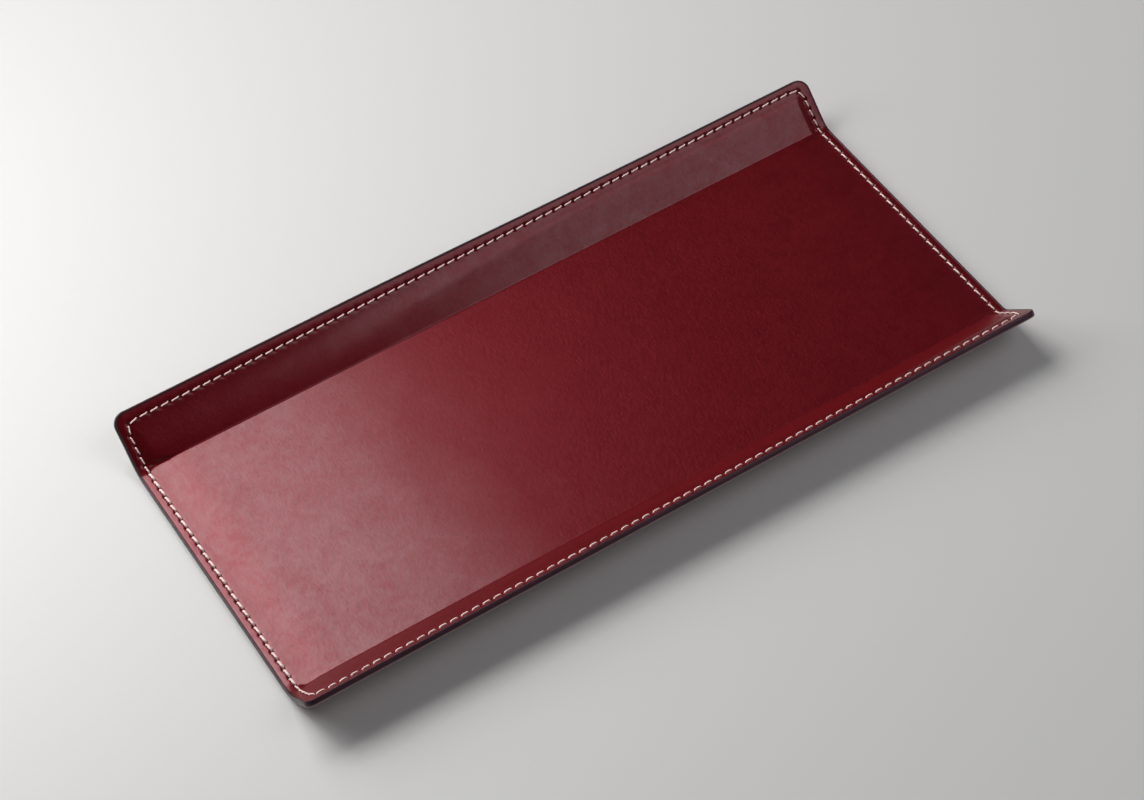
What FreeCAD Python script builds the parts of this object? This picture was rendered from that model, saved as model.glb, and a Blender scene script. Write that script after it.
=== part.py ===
"""Desk pen tray: two leather sheets bonded over a bent core, with both long sides turned up.

The tray rests on the underside of its floor. Its origin is the bottom centre, +X runs along
its length, +Y across it and +Z up. The two leathers meet at the parting surface, and every
height below is measured from there, square to the sheet: up is into the tray.
"""
import FreeCAD, Part
import math
import os
import Sketcher

# Driving dimensions in millimetres and degrees.
SIZES = {
    "tray_length": 240.0,       # over the painted ends
    "floor_width": 90.0,        # between the two creases, on the lining
    "wall_width": 18.0,         # from crease to painted rim, up the wall
    "wall_angle": 44.0,         # of each wall above the level
    "crease_radius": 0.9,       # of the lining in each fold
    "lining_thickness": 1.0,
    "base_thickness": 1.0,
    "core_thickness": 1.2,
    "core_clearance": 0.2,      # from the core's edge to where the lining starts to slope
    "core_corner": 2.0,
    "underside_step": 0.6,      # the seam margin's height above the resting face
    "slope_run": 2.5,           # width of the band where each leather slopes to the margin
    "foot_gap": 0.8,            # from the seam to the foot of that slope
    "end_margin": 3.0,          # from the painted end to the seam
    "wall_margin": 3.5,         # from the painted rim to the seam
    "paint_thickness": 0.25,
    "paint_round": 0.2,         # rounding of the paint's outer corners
    "corner_radius": 3.0,       # of the sheet's painted corners
    "stitch_pitch": 3.4,
    "corner_setback": 1.0,      # how far a corner hole stands in from the end row
    "corner_drop": 0.6,         # how far a corner hole stands below the wall row
    "fold_clearance": 0.08,     # from a fold to where a stitch comes up beside it
    "hole_diameter": 1.25,
    "thread_diameter": 0.5,
    "strand_offset": 0.32,      # of each strand from the middle of its hole
    "thread_bend": 0.35,        # centre-line radius where a stitch dives into its hole
    "thread_lift": 0.03,        # clearance between a stitch and the leather under it
    "lock_gap": 0.1,            # between the two threads where they lock inside the sheet
}

# Heights from the parting surface and reaches along the sheet, as sheet formulas.
PARTING = "(sizes.underside_step + sizes.base_thickness)"
STEP_UP = "(sizes.core_thickness - sizes.underside_step)"
STEP_DOWN = "sizes.underside_step"
LINING_TOP = "(%s + sizes.lining_thickness)" % STEP_UP
FOLD_RADIUS = "(sizes.crease_radius + %s)" % LINING_TOP
FOLD_INSET = "(sizes.crease_radius * tan(sizes.wall_angle / 2))"
FOOT_HALF = "(sizes.tray_length / 2 - sizes.end_margin - sizes.foot_gap)"
FOOT_REACH = "(sizes.wall_width - sizes.wall_margin - sizes.foot_gap)"
CUT_HALF = "(sizes.tray_length / 2 - sizes.paint_thickness)"
CUT_REACH = "(sizes.wall_width - sizes.paint_thickness)"

# How far a tool reaches past the face it cuts through.
OVERCUT = 0.5
# How closely a corner has to match the place it is looked for at.
NEAR = 0.01
VERTICAL_AXIS = -2
ORIGIN_POINT = (-1, 1)


def make_sheet(doc):
    """Fill the spreadsheet with the driving dimensions."""
    sheet = doc.addObject("Spreadsheet::Sheet", "sizes")
    for row, (name, value) in enumerate(SIZES.items(), start=1):
        sheet.set("A%d" % row, name)
        sheet.set("B%d" % row, str(value))
        sheet.setAlias("B%d" % row, name)
    doc.recompute()
    return sheet


def origin_feature(body, role):
    """Return one of a body's own origin planes."""
    for feature in body.Origin.OriginFeatures:
        if feature.Role == role:
            return feature
    raise ValueError("no origin feature " + role)


def new_sketch(body, name, role):
    """Add a sketch on one of the body's origin planes."""
    sketch = body.newObject("Sketcher::SketchObject", body.Name + "_" + name)
    sketch.AttachmentSupport = [(origin_feature(body, role), "")]
    sketch.MapMode = "FlatFace"
    return sketch


def bind(sketch, kind, places, value, formula):
    """Add a dimension to a sketch and tie it to the spreadsheet."""
    index = sketch.addConstraint(Sketcher.Constraint(kind, *places, value))
    sketch.setExpression("Constraints[%d]" % index, formula)


def value_of(doc, formula):
    """Return what a formula comes to with the spreadsheet's present values."""
    result = doc.getObject("sizes").evalExpression(formula)
    return float(getattr(result, "Value", result))


def height(formula):
    """Return the formula of a level above the resting face, from a height off the parting surface."""
    return "%s + %s" % (PARTING, formula)


def section_sketch(body, name, corners):
    """Draw a section on the tray's middle plane.

    corners lists the right-hand corners from one level to the next, each as a pair of formulas:
    half length, and height off the parting surface. The left half mirrors the right.
    """
    sketch = new_sketch(body, name, "XZ_Plane")
    doc = body.Document
    right = [(value_of(doc, half), value_of(doc, height(level))) for half, level in corners]
    outline = right + [(-half, level) for half, level in reversed(right)]
    count = len(outline)
    for index in range(count):
        start = FreeCAD.Vector(*outline[index], 0)
        end = FreeCAD.Vector(*outline[(index + 1) % count], 0)
        sketch.addGeometry(Part.LineSegment(start, end), False)
    for index in range(count):
        sketch.addConstraint(Sketcher.Constraint("Coincident", index, 2, (index + 1) % count, 1))
    for index, (half, level) in enumerate(corners):
        bind(sketch, "DistanceX", (*ORIGIN_POINT, index, 1), right[index][0], half)
        bind(sketch, "DistanceY", (*ORIGIN_POINT, index, 1), right[index][1], height(level))
        mirrored = count - 1 - index
        sketch.addConstraint(Sketcher.Constraint("Symmetric", index, 1, mirrored, 1, VERTICAL_AXIS))
    return sketch


def path_sketch(body, name, reach):
    """Draw half of the parting surface's profile: floor, fold and wall, up to a reach from the crease."""
    sketch = new_sketch(body, name, "YZ_Plane")
    doc = body.Document
    centre_formula = "sizes.floor_width / 2 - " + FOLD_INSET
    wall_formula = "%s - %s" % (reach, FOLD_INSET)
    level = value_of(doc, PARTING)
    radius = value_of(doc, FOLD_RADIUS)
    fold_start = value_of(doc, centre_formula)
    wall_run = value_of(doc, wall_formula)
    slope = math.radians(value_of(doc, "sizes.wall_angle"))
    centre = FreeCAD.Vector(fold_start, level + radius, 0)
    fold_end = centre + FreeCAD.Vector(math.sin(slope), -math.cos(slope), 0) * radius
    rim = fold_end + FreeCAD.Vector(math.cos(slope), math.sin(slope), 0) * wall_run
    sketch.addGeometry(Part.LineSegment(FreeCAD.Vector(0, level, 0), FreeCAD.Vector(fold_start, level, 0)))
    circle = Part.Circle(centre, FreeCAD.Vector(0, 0, 1), radius)
    sketch.addGeometry(Part.ArcOfCircle(circle, -math.pi / 2, slope - math.pi / 2))
    sketch.addGeometry(Part.LineSegment(fold_end, rim))
    floor_line, fold_arc, wall_line = 0, 1, 2
    sketch.addConstraint(Sketcher.Constraint("Tangent", floor_line, 2, fold_arc, 1))
    sketch.addConstraint(Sketcher.Constraint("Tangent", fold_arc, 2, wall_line, 1))
    sketch.addConstraint(Sketcher.Constraint("Horizontal", floor_line))
    sketch.addConstraint(Sketcher.Constraint("PointOnObject", floor_line, 1, VERTICAL_AXIS))
    bind(sketch, "DistanceY", (*ORIGIN_POINT, floor_line, 1), level, PARTING)
    bind(sketch, "DistanceX", (*ORIGIN_POINT, fold_arc, 3), fold_start, centre_formula)
    bind(sketch, "Radius", (fold_arc,), radius, FOLD_RADIUS)
    bind(sketch, "Distance", (wall_line,), wall_run, wall_formula)
    bind(sketch, "Angle", (wall_line,), slope, "sizes.wall_angle * 1deg")
    return sketch


def wall_point(reach, level):
    """Return the formulas of a point on the wall: its place across the tray and its height."""
    across = "sizes.floor_width / 2 + (%s) * cos(sizes.wall_angle) - (%s - %s) * sin(sizes.wall_angle)"
    upward = "%s + %s + (%s) * sin(sizes.wall_angle) + (%s - %s) * cos(sizes.wall_angle)"
    return (across % (reach, level, LINING_TOP),
            upward % (PARTING, LINING_TOP, reach, level, LINING_TOP))


def cut_wall_slope(body, shoulder, crown):
    """Cut the top end of a panel back from its crown, down to its shoulder."""
    sketch = new_sketch(body, "slope", "YZ_Plane")
    inner_reach = "%s - sizes.slope_run" % FOOT_REACH
    corners = [wall_point(FOOT_REACH, shoulder), wall_point(FOOT_REACH, crown),
               wall_point(inner_reach, crown)]
    places = [tuple(value_of(body.Document, formula) for formula in corner) for corner in corners]
    for index in range(3):
        start = FreeCAD.Vector(*places[index], 0)
        end = FreeCAD.Vector(*places[(index + 1) % 3], 0)
        sketch.addGeometry(Part.LineSegment(start, end), False)
    for index, (across, upward) in enumerate(corners):
        sketch.addConstraint(Sketcher.Constraint("Coincident", index, 2, (index + 1) % 3, 1))
        bind(sketch, "DistanceX", (*ORIGIN_POINT, index, 1), places[index][0], across)
        bind(sketch, "DistanceY", (*ORIGIN_POINT, index, 1), places[index][1], upward)
    pocket = body.newObject("PartDesign::Pocket", body.Name + "_slope_cut")
    pocket.Profile = sketch
    pocket.Type = "ThroughAll"
    pocket.SideType = "Symmetric"
    return pocket


def swept_body(doc, name, corners, reach, slope=None):
    """Sweep a section over the floor and up one wall, and mirror it for the other wall.

    slope, where given, is the shoulder and crown level between which the wall's top end slopes.
    """
    body = doc.addObject("PartDesign::Body", name)
    section = section_sketch(body, "section", corners)
    path = path_sketch(body, "path", reach)
    pipe = body.newObject("PartDesign::AdditivePipe", name + "_pipe")
    pipe.Profile = section
    pipe.Spine = (path, ["Edge1", "Edge2", "Edge3"])
    doc.recompute()
    if slope:
        before = pipe.Shape.Volume
        pocket = cut_wall_slope(body, *slope)
        doc.recompute()
        if pocket.Shape.Volume >= before:
            raise ValueError(name + ": the slope cut removed nothing")
    mirror = body.newObject("PartDesign::Mirrored", name + "_mirror")
    mirror.TransformMode = "Whole shape"
    mirror.MirrorPlane = (origin_feature(body, "XZ_Plane"), [""])
    body.Tip = mirror
    doc.recompute()
    return body


def slab(half, low, high):
    """Return the corners of a flat section."""
    return [(half, low), (half, high)]


def panel(low, shoulder, crown):
    """Return the corners of a section that slopes in from its foot to its crown."""
    return [(FOOT_HALF, low), (FOOT_HALF, shoulder), ("%s - sizes.slope_run" % FOOT_HALF, crown)]


def round_edges(body, name, edges, radius):
    """Fillet the numbered edges of a body's tip."""
    rounded = body.Tip
    fillet = body.newObject("PartDesign::Fillet", body.Name + "_" + name)
    fillet.Base = (rounded, ["Edge%d" % number for number in edges])
    fillet.setExpression("Radius", radius)
    body.Tip = fillet
    body.Document.recompute()


def corner_edges(shape, layout, half):
    """Return the numbers of the four edges that run through a sheet at its outer corners."""
    found = []
    for number, edge in enumerate(shape.Edges, start=1):
        points = [vertex.Point for vertex in edge.Vertexes]
        at_end = all(abs(abs(point.x) - half) < NEAR for point in points)
        levels = [layout.height_of(point) for point in points]
        if at_end and max(levels) - min(levels) > NEAR:
            found.append(number)
    if len(found) != 4:
        raise ValueError("expected four corner edges, found %d" % len(found))
    return found


def outline_edges(shape, layout, levels):
    """Return the numbers of the edges that run round a sheet at the given heights."""
    found = []
    for number, edge in enumerate(shape.Edges, start=1):
        middle = edge.valueAt((edge.FirstParameter + edge.LastParameter) / 2)
        on_level = any(abs(layout.height_of(middle) - level) < NEAR for level in levels)
        if on_level and layout.on_outline(middle):
            found.append(number)
    return found


def add_boolean(doc, kind, name, base, tool):
    """Add a boolean of two objects."""
    result = doc.addObject("Part::" + kind, name)
    result.Base = base
    result.Tool = tool
    result.Refine = True
    doc.recompute()
    return result


class Layout:
    """The parting surface laid flat: x along the tray, and w across it from the middle line."""

    def __init__(self, sheet):
        for name in SIZES:
            setattr(self, name, float(getattr(sheet, name)))
        self.slope = math.radians(self.wall_angle)
        self.parting = self.underside_step + self.base_thickness
        self.lining_top = self.core_thickness - self.underside_step + self.lining_thickness
        self.fold_radius = self.crease_radius + self.lining_top
        self.fold_inset = self.crease_radius * math.tan(self.slope / 2)
        self.fold_start = self.floor_width / 2 - self.fold_inset
        self.fold_end = self.fold_start + self.fold_radius * self.slope
        self.rim = self.fold_end + self.wall_width - self.fold_inset
        self.end_row = self.tray_length / 2 - self.end_margin
        self.wall_row = self.rim - self.wall_margin

    def normal(self, w):
        """Return the sheet's upward normal at a place across it."""
        turned = (min(max(abs(w), self.fold_start), self.fold_end) - self.fold_start) / self.fold_radius
        return FreeCAD.Vector(0, -math.copysign(math.sin(turned), w), math.cos(turned))

    def place(self, x, w, h=0.0):
        """Return the point at x and w, at height h off the parting surface."""
        side = math.copysign(1.0, w)
        normal = self.normal(w)
        if abs(w) <= self.fold_start:
            return FreeCAD.Vector(x, w, self.parting + h)
        centre = FreeCAD.Vector(x, side * self.fold_start, self.parting + self.fold_radius)
        point = centre - normal * (self.fold_radius - h)
        wall_run = max(abs(w) - self.fold_end, 0.0)
        return point + FreeCAD.Vector(0, side * math.cos(self.slope), math.sin(self.slope)) * wall_run

    def height_of(self, point):
        """Return a point's height off the parting surface."""
        across = abs(point.y) - self.fold_start
        if across <= 0:
            return point.z - self.parting
        drop = self.parting + self.fold_radius - point.z
        if math.atan2(across, drop) < self.slope:
            return self.fold_radius - math.hypot(across, drop)
        return self.fold_radius - (across * math.sin(self.slope) + drop * math.cos(self.slope))

    def on_outline(self, point):
        """Say whether a point lies on the painted outline."""
        reach = (abs(point.y) - self.fold_start) * math.cos(self.slope)
        reach -= (self.parting + self.fold_radius - point.z) * math.sin(self.slope)
        at_rim = abs(reach - (self.rim - self.fold_end)) < NEAR
        at_end = abs(abs(point.x) - self.tray_length / 2) < NEAR
        near_corner = abs(point.x) > self.tray_length / 2 - self.corner_radius
        in_corner = near_corner and reach > self.rim - self.fold_end - self.corner_radius
        return at_rim or at_end or in_corner

    def row(self, start, end):
        """Return evenly spaced places from start up to, not with, end, as near the pitch as fits."""
        span = math.hypot(end[0] - start[0], end[1] - start[1])
        count = max(1, round(span / self.stitch_pitch))
        return [(start[0] + (end[0] - start[0]) * step / count,
                 start[1] + (end[1] - start[1]) * step / count) for step in range(count)]

    def holes(self):
        """Return the needle holes' places, in order round the tray."""
        corner_x = self.end_row - self.corner_setback
        corner_w = self.wall_row - self.corner_drop
        fold_lead = self.strand_offset + self.thread_bend + self.fold_clearance
        above_fold = self.fold_end + fold_lead
        below_fold = self.fold_start - fold_lead
        places = []
        for side in (1, -1):
            wall_row = self.row((-side * corner_x, corner_w), (side * corner_x, corner_w))
            wall_row = wall_row[:1] + [(x, self.wall_row) for x, _ in wall_row[1:]]
            places += [(x, side * w) for x, w in wall_row]
            down = self.row((self.end_row, corner_w), (self.end_row, above_fold))
            down = [(corner_x, corner_w)] + down[1:] + [(self.end_row, above_fold)]
            places += [(side * x, side * w) for x, w in down]
            floor_row = self.row((self.end_row, below_fold), (self.end_row, -below_fold))
            places += [(side * x, side * w) for x, w in floor_row + [(self.end_row, -below_fold)]]
            up = self.row((self.end_row, -above_fold), (self.end_row, -corner_w))
            places += [(side * x, side * w) for x, w in up]
        return places


def quarter(start, corner, end):
    """Return the quarter round that leaves start towards corner and arrives at end from it."""
    centre = start + end - corner
    middle = centre + (corner - centre) * math.sqrt(0.5)
    return Part.Arc(start, middle, end).toShape()


def quarter_turn(start, end, leaving, arriving):
    """Return a quarter round between two points that lie square to each other's directions."""
    corner = start + leaving * (end - start).dot(leaving)
    return quarter(start, corner, end)


def stitch_path(layout, start, end, before, after, side):
    """Return the edges of one stitch, from the crown in one hole to the crown in the next.

    start and end are the stitch's two holes. before is the hole ahead of start and after is the
    one past end, which set how the strands stand in the holes they share. side is 1 for the
    thread on the lining and -1 for the one on the base.
    """
    radius = layout.thread_diameter / 2
    skin = layout.lining_thickness if side > 0 else layout.base_thickness
    crown = layout.lock_gap / 2 + radius
    top = skin + layout.thread_lift + radius
    run = unit(start, end)
    leg_out = shifted(start, run, layout.strand_offset)
    leg_in = shifted(end, run, -layout.strand_offset)
    last_leg = shifted(start, unit(before, start), -layout.strand_offset)
    next_leg = shifted(end, unit(end, after), layout.strand_offset)
    edges = rise(layout, last_leg, leg_out, run, crown, top, side)
    bar_start = shifted(leg_out, run, layout.thread_bend)
    bar_end = shifted(leg_in, run, -layout.thread_bend)
    edges += bar(layout, bar_start, bar_end, top * side)
    back = (-run[0], -run[1])
    edges += reversed(rise(layout, next_leg, leg_in, back, crown, top, side))
    return edges


def rise(layout, far_leg, leg, run, crown, top, side):
    """Return the edges from a hole's crown up its leg and over onto the leather."""
    middle = ((far_leg[0] + leg[0]) / 2, (far_leg[1] + leg[1]) / 2)
    turn = math.dist(far_leg, leg) / 2
    crown_point = layout.place(*middle, crown * side)
    leg_foot = layout.place(*leg, (crown + turn) * side)
    leg_head = layout.place(*leg, (top - layout.thread_bend) * side)
    over = layout.place(*shifted(leg, run, layout.thread_bend), top * side)
    upward = layout.normal(leg[1]) * side
    outward = (layout.place(*leg, crown * side) - crown_point).normalize()
    return [quarter_turn(crown_point, leg_foot, outward, upward),
            Part.LineSegment(leg_foot, leg_head).toShape(),
            quarter_turn(leg_head, over, upward, outward)]


def bar(layout, start, end, level):
    """Return the edges of a stitch's visible run, which follows a fold that it crosses."""
    nearest, farthest = sorted((abs(start[1]), abs(end[1])))
    if not nearest <= layout.fold_start < layout.fold_end <= farthest:
        return [Part.LineSegment(layout.place(*start, level), layout.place(*end, level)).toShape()]
    side = math.copysign(1.0, start[1])
    turns = sorted((layout.fold_start, layout.fold_end), reverse=abs(start[1]) > abs(end[1]))
    first, last = [layout.place(start[0], side * w, level) for w in turns]
    middle = layout.place(start[0], side * (layout.fold_start + layout.fold_end) / 2, level)
    return [Part.LineSegment(layout.place(*start, level), first).toShape(),
            Part.Arc(first, middle, last).toShape(),
            Part.LineSegment(last, layout.place(*end, level)).toShape()]


def unit(start, end):
    """Return the unit direction between two places on the flat layout."""
    span = math.dist(start, end)
    return ((end[0] - start[0]) / span, (end[1] - start[1]) / span)


def shifted(place, direction, distance):
    """Return a place moved along a direction on the flat layout."""
    return (place[0] + direction[0] * distance, place[1] + direction[1] * distance)


def thread_shape(layout, side):
    """Return one thread, an unbroken round tube that closes on itself."""
    holes = layout.holes()
    count = len(holes)
    edges = []
    for index in range(count):
        around = [holes[(index + step) % count] for step in (0, 1, -1, 2)]
        edges += stitch_path(layout, *around, side)
    path = Part.Wire(edges)
    start = path.OrderedVertexes[0].Point
    first = path.OrderedEdges[0]
    along = first.tangentAt(first.FirstParameter)
    section = Part.Wire(Part.makeCircle(layout.thread_diameter / 2, start, along))
    return path.makePipeShell([section], True, False)


def hole_tool(doc, layout):
    """Return the needle holes as one group of cylinders, square to the sheet."""
    low = -layout.base_thickness - OVERCUT
    depth = layout.base_thickness + layout.lining_thickness + 2 * OVERCUT
    radius = layout.hole_diameter / 2
    pins = [Part.makeCylinder(radius, depth, layout.place(x, w, low), layout.normal(w))
            for x, w in layout.holes()]
    tool = doc.addObject("Part::Feature", "needle_holes")
    tool.Shape = Part.makeCompound(pins)
    return tool


def make_leather(doc, layout, name, skin, step, upward, holes):
    """Build one leather: a flat sheet with a stepped panel that wraps its side of the core.

    skin and step are the formulas of its thickness and of its panel's step off the parting
    surface. upward is true for the lining and false for the base.
    """
    sign, against = ("", "-") if upward else ("-", "")
    outer = sign + skin
    crown = "%s(%s + %s)" % (sign, skin, step)
    hollow_crown = sign + step
    hollow_foot = against + str(OVERCUT)
    flat = swept_body(doc, name + "_sheet", slab(CUT_HALF, "0", outer), CUT_REACH)
    edges = corner_edges(flat.Shape, layout, value_of(doc, CUT_HALF))
    round_edges(flat, "corners", edges, "sizes.corner_radius - sizes.paint_thickness")
    raised = swept_body(doc, name + "_panel", panel("0", outer, crown), FOOT_REACH, (outer, crown))
    hollow = swept_body(doc, name + "_hollow", panel(hollow_foot, "0", hollow_crown), FOOT_REACH,
                        ("0", hollow_crown))
    joined = add_boolean(doc, "Fuse", name + "_joined", flat, raised)
    formed = add_boolean(doc, "Cut", name + "_formed", joined, hollow)
    return add_boolean(doc, "Cut", name, formed, holes)


def make_core(doc, layout):
    """Build the bent core that stiffens the tray and holds its walls up."""
    half = "%s - sizes.slope_run - sizes.core_clearance" % FOOT_HALF
    reach = "%s - sizes.slope_run - sizes.core_clearance" % FOOT_REACH
    core = swept_body(doc, "core_sheet", slab(half, "-" + STEP_DOWN, STEP_UP), reach)
    edges = corner_edges(core.Shape, layout, value_of(doc, half))
    round_edges(core, "corners", edges, "sizes.core_corner")
    return core


def make_paint(doc, layout):
    """Build the paint that seals the cut edge all round the tray."""
    low, high = "-sizes.base_thickness", "sizes.lining_thickness"
    outer = swept_body(doc, "paint_outside", slab("sizes.tray_length / 2", low, high), "sizes.wall_width")
    edges = corner_edges(outer.Shape, layout, layout.tray_length / 2)
    round_edges(outer, "corners", edges, "sizes.corner_radius")
    levels = (-layout.base_thickness, layout.lining_thickness)
    round_edges(outer, "rounding", outline_edges(outer.Shape, layout, levels), "sizes.paint_round")
    inner = swept_body(doc, "paint_inside", slab(CUT_HALF, low, high), CUT_REACH)
    edges = corner_edges(inner.Shape, layout, value_of(doc, CUT_HALF))
    round_edges(inner, "corners", edges, "sizes.corner_radius - sizes.paint_thickness")
    return add_boolean(doc, "Cut", "edge_paint", outer, inner)


def make_thread(doc, layout, name, side):
    """Build one of the two threads of the lockstitched seam."""
    thread = doc.addObject("Part::Feature", name)
    thread.Shape = thread_shape(layout, side)
    return thread


def check(doc, parts):
    """Stop if any object failed or any sub-part isn't a sound solid."""
    for item in doc.Objects:
        if "Invalid" in item.State or "Error" in item.State:
            raise ValueError("%s failed: %s" % (item.Name, item.State))
    for part in parts:
        shape = part.Shape
        if shape.isNull() or not shape.isValid() or not shape.Solids:
            raise ValueError("%s is not a sound solid" % part.Name)
        print("%-16s solids %d, faces %d, volume %.1f mm3" % (
            part.Name, len(shape.Solids), len(shape.Faces), shape.Volume))


def main():
    """Build the tray and write each sub-part's file."""
    doc = FreeCAD.newDocument("pen_tray")
    sheet = make_sheet(doc)
    layout = Layout(sheet)
    holes = hole_tool(doc, layout)
    parts = [
        make_leather(doc, layout, "lining_leather", "sizes.lining_thickness", STEP_UP, True, holes),
        make_leather(doc, layout, "base_leather", "sizes.base_thickness", STEP_DOWN, False, holes),
        make_core(doc, layout),
        make_paint(doc, layout),
        make_thread(doc, layout, "needle_thread", 1),
        make_thread(doc, layout, "bobbin_thread", -1),
    ]
    doc.recompute()
    check(doc, parts)
    os.makedirs("parts", exist_ok=True)
    for part in parts:
        part.Shape.exportStep("parts/%s.step" % part.Label)


main()
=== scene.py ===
"""The looks of a leather pen tray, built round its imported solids.

The tray is two burgundy leathers bonded over a thin core, stitched all round in cream thread and
painted along the cut edge. Its pieces are modelled as the real ones are made: flat, on the
surface where the two leathers meet, and then folded. On that flat layout x runs along the tray,
w across it and h squarely off it, all in millimetres. Last, each mesh is folded into the tray's
frame, in metres.
"""

import logging
import math
from collections.abc import Iterator
from dataclasses import dataclass, field
from enum import Enum
from functools import cached_property

import bmesh
import bpy
from bmesh.types import BMEdge, BMesh, BMVert
from bpy.types import ID, Material, Node, NodeSocket as Socket, NodeTree, Object
from mathutils import Matrix, Vector, kdtree, noise


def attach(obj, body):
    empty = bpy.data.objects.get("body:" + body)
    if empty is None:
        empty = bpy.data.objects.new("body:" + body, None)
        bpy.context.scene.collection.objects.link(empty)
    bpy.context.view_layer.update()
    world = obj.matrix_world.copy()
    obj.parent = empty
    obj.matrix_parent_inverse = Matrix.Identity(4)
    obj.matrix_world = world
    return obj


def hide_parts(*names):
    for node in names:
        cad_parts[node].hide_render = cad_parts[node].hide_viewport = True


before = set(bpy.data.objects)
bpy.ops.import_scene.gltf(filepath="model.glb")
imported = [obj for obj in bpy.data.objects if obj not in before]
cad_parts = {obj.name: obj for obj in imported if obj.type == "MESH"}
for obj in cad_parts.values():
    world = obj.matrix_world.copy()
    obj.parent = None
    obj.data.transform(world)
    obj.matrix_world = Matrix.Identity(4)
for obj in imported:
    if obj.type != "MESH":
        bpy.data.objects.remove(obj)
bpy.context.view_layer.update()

LOG = logging.getLogger("pen_tray")
BODY = "root"
METRES = 0.001
WELD = 1e-7

# Which of a mix node's sockets carry the share, the two colours and the result.
MIX_INPUTS = (0, 6, 7)
MIX_OUTPUT = 2

Triple = tuple[float, float, float]
Colour = Triple
Place = tuple[float, float]
Span = tuple[float, float]
Edges = list[BMEdge]
Values = dict[str, object]

UNIT: Span = (0.0, 1.0)


class Face(Enum):
    """The side of the tray that a leather or a thread shows on."""

    UPPER = 1
    LOWER = -1


def smooth(share: float) -> float:
    """Ease a share from 0 to 1, held flat outside that range.

    Args:
        share: How far along the change is.

    Returns:
        The eased share, from 0 to 1.
    """
    held = min(max(share, 0.0), 1.0)
    return held * held * (3.0 - 2.0 * held)


def drift(x: float, w: float, wavelength: float, layer: float) -> float:
    """Give a slow random height over the flat layout.

    Args:
        x: Place along the tray.
        w: Place across it.
        wavelength: Rough size of a rise, in millimetres.
        layer: A number that tells one pattern from another.

    Returns:
        A value from about -1 to 1.
    """
    return noise.noise(Vector((x / wavelength, w / wavelength, layer)))


@dataclass(frozen=True)
class TraySizes:
    """The tray's driving dimensions in millimetres and degrees, as its solids have them."""

    length: float = 240.0
    floor_width: float = 90.0
    wall_width: float = 18.0
    wall_angle: float = 44.0
    crease_radius: float = 0.9
    skin: float = 1.0
    core: float = 1.2
    underside_step: float = 0.6
    slope_run: float = 2.5
    foot_gap: float = 0.8
    end_margin: float = 3.0
    wall_margin: float = 3.5
    paint: float = 0.25
    corner_radius: float = 3.0
    stitch_pitch: float = 3.4
    corner_setback: float = 1.0
    corner_drop: float = 0.6
    fold_lead: float = 0.75

    @cached_property
    def slope(self) -> float:
        """The wall's angle in radians."""
        return math.radians(self.wall_angle)

    @cached_property
    def parting(self) -> float:
        """Height of the surface where the leathers meet, on the floor."""
        return self.underside_step + self.skin

    @cached_property
    def upper_step(self) -> float:
        """How far the core lifts the lining off the parting surface."""
        return self.core - self.underside_step

    @cached_property
    def fold_radius(self) -> float:
        """Radius of the parting surface in the fold, over the core."""
        return self.crease_radius + self.upper_step + self.skin

    @cached_property
    def bend_line(self) -> float:
        """Where floor and wall would meet if the parting surface had no fold radius."""
        inset = (self.fold_radius - self.crease_radius) * math.tan(self.slope / 2)
        return self.floor_width / 2 + inset

    @cached_property
    def fold_start(self) -> float:
        """Where the floor ends and the fold begins, on the flat layout."""
        return self.bend_line - self.fold_radius * math.tan(self.slope / 2)

    @cached_property
    def fold_end(self) -> float:
        """Where the fold ends and the wall begins, on the flat layout."""
        return self.fold_start + self.fold_radius * self.slope

    @cached_property
    def rim(self) -> float:
        """The painted rim's place across the flat layout."""
        return self.fold_end + self.wall_width - self.crease_radius * math.tan(self.slope / 2)


@dataclass(frozen=True)
class Fold:
    """The two folds that turn the flat layout into a tray.

    The core keeps a fold crisp. Past the core's end only leather is folded, which relaxes into a
    rounder bend, so the radius grows there while floor and wall stay where they are. The far and
    the near fold each have one such radius at the left end and one at the right.
    """

    sizes: TraySizes
    relax_run: float = 5.5
    far: Place = (7.0, 6.5)
    near: Place = (12.0, 4.5)

    def radius(self, x: float, w: float) -> float:
        """Give the parting surface's radius in the fold nearest to a place."""
        sizes = self.sizes
        margin_start = sizes.length / 2 - sizes.end_margin - sizes.foot_gap - sizes.slope_run
        share = smooth((abs(x) - margin_start) / self.relax_run)
        left, right = self.far if w > 0 else self.near
        relaxed = right if x > 0 else left
        return sizes.fold_radius + (relaxed - sizes.fold_radius) * share

    def place(self, x: float, w: float, h: float) -> Vector:
        """Fold one point of the flat layout.

        Args:
            x: Place along the tray.
            w: Place across it, from the middle line.
            h: Height off the parting surface.

        Returns:
            The point in the tray's frame, in metres.
        """
        sizes = self.sizes
        side = math.copysign(1.0, w)
        reach = abs(w)
        radius = self.radius(x, w)
        tangent = radius * math.tan(sizes.slope / 2)
        start = sizes.bend_line - tangent
        crisp = sizes.fold_start
        end = (start + 2.0 * tangent - 2.0 * (sizes.bend_line - crisp)
               + (sizes.fold_end - crisp))
        turn = sizes.slope * min(max((reach - start) / (end - start), 0.0), 1.0)
        run = max(reach - end, 0.0)
        across = min(reach, start) + (radius - h) * math.sin(turn) + run * math.cos(turn)
        upward = sizes.parting + radius - (radius - h) * math.cos(turn) + run * math.sin(turn)
        return Vector((x, side * across, upward)) * METRES


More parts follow.
